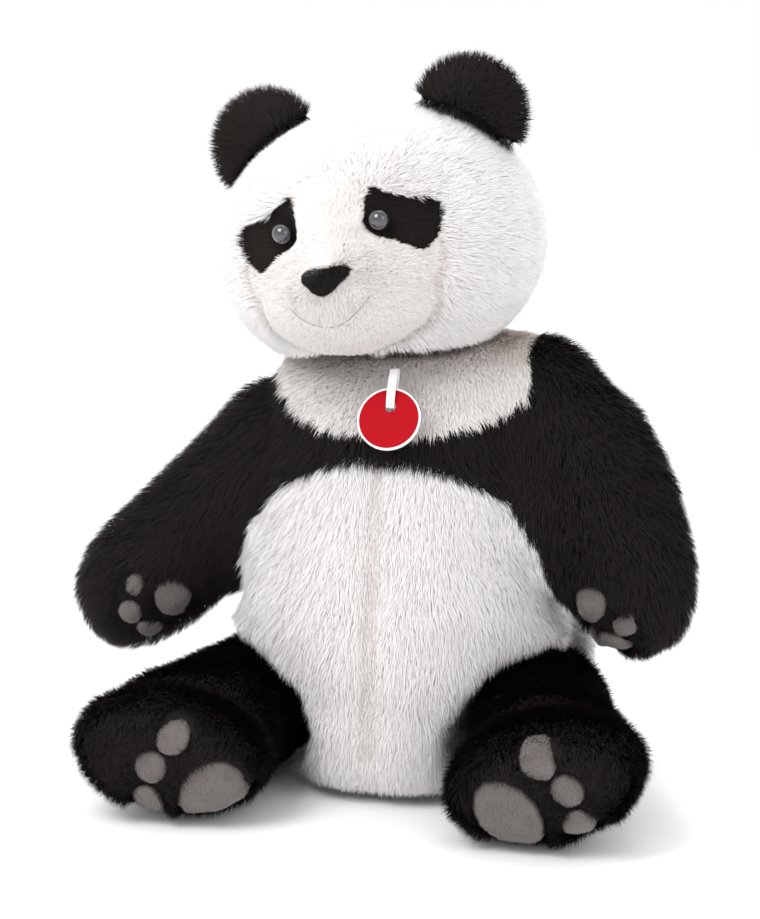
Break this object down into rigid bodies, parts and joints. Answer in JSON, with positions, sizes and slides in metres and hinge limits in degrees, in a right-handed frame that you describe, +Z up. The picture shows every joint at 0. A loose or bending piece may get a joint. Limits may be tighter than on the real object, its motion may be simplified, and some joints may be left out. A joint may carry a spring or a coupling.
{
  "type": "plush panda",
  "caption": "Seated long-pile plush bear with black limbs and ears, white belly, inset paw pads, glossy eyes and a round swing tag.",
  "frame": {"origin": "centre of the overall box, on the surface it sits on", "axes": "+Z up; the panda faces -Y, with its own left side towards +X"},
  "size_m": [0.3653, 0.2986, 0.4073],
  "materials": {
    "white long plush": "long soft pile",
    "black long plush": "long soft pile",
    "cream short plush": "short soft pile",
    "black short plush": "short soft pile",
    "grey pad plush": "very short brushed pile",
    "flocked nose": "flocked",
    "stuffing": "loose polyester fibre",
    "eye plastic": "polished dome",
    "washer plastic": "moulded",
    "mouth thread": "twisted thread",
    "tag plastic": "printed, smooth",
    "strap plastic": "smooth"
  },
  "bodies": {
    "torso": {"belly_panel_left": "white long plush", "belly_panel_right": "white long plush", "back_panel_left": "white long plush", "back_panel_right": "white long plush", "seat_panel": "white long plush", "shoulder_yoke": "black long plush", "collar": "cream short plush", "torso_stuffing": "stuffing", "tail": "white long plush"},
    "head": {"head_skin": "white long plush", "head_stuffing": "stuffing", "muzzle_panel": "cream short plush", "brow_strip": "cream short plush", "eye_patch_left": "black short plush", "eye_patch_right": "black short plush", "eye_left": "eye plastic", "eye_right": "eye plastic", "eye_washer_left": "washer plastic", "eye_washer_right": "washer plastic", "nose": "flocked nose", "mouth_stitch": "mouth thread", "ear_front_left": "black long plush", "ear_back_left": "black long plush", "ear_front_right": "black long plush", "ear_back_right": "black long plush"},
    "arm_left": {"arm_skin_left": "black long plush", "arm_stuffing_left": "stuffing", "palm_pad_left": "grey pad plush", "finger_pad_1_left": "grey pad plush", "finger_pad_2_left": "grey pad plush", "finger_pad_3_left": "grey pad plush"},
    "arm_right": {"arm_skin_right": "black long plush", "arm_stuffing_right": "stuffing", "palm_pad_right": "grey pad plush", "finger_pad_1_right": "grey pad plush", "finger_pad_2_right": "grey pad plush", "finger_pad_3_right": "grey pad plush"},
    "leg_left": {"leg_skin_left": "black long plush", "leg_stuffing_left": "stuffing", "sole_pad_left": "grey pad plush", "toe_pad_1_left": "grey pad plush", "toe_pad_2_left": "grey pad plush", "toe_pad_3_left": "grey pad plush"},
    "leg_right": {"leg_skin_right": "black long plush", "leg_stuffing_right": "stuffing", "sole_pad_right": "grey pad plush", "toe_pad_1_right": "grey pad plush", "toe_pad_2_right": "grey pad plush", "toe_pad_3_right": "grey pad plush"},
    "swing_tag": {"tag_disc": "tag plastic", "tag_strap": "strap plastic"}
  },
  "joints": [
    {"name": "head_turn", "type": "hinge", "parent": "torso", "child": "head", "pos_m": [0.0058, 0.0244, 0.25], "axis": [0, 0, 1], "range_deg": [-20, 20], "stiffness_Nm_per_rad": 0.6},
    {"name": "arm_left_raise", "type": "hinge", "parent": "torso", "child": "arm_left", "pos_m": [0.0848, 0.0244, 0.2], "axis": [-0.9848, 0, -0.1736], "range_deg": [0, 50], "stiffness_Nm_per_rad": 0.5},
    {"name": "arm_right_raise", "type": "hinge", "parent": "torso", "child": "arm_right", "pos_m": [-0.0652, 0.0244, 0.2], "axis": [-0.9848, 0, 0.1736], "range_deg": [0, 50], "stiffness_Nm_per_rad": 0.5},
    {"name": "leg_left_splay", "type": "hinge", "parent": "torso", "child": "leg_left", "pos_m": [0.0918, 0.0124, 0.04], "axis": [0, 0, 1], "range_deg": [0, 16], "stiffness_Nm_per_rad": 0.6},
    {"name": "leg_right_splay", "type": "hinge", "parent": "torso", "child": "leg_right", "pos_m": [-0.0722, 0.0124, 0.04], "axis": [0, 0, -1], "range_deg": [0, 16], "stiffness_Nm_per_rad": 0.6},
    {"name": "tag_swing", "type": "hinge", "parent": "torso", "child": "swing_tag", "pos_m": [0.0178, -0.0436, 0.239], "axis": [-1, 0, 0], "range_deg": [0, 50]}
  ]
}
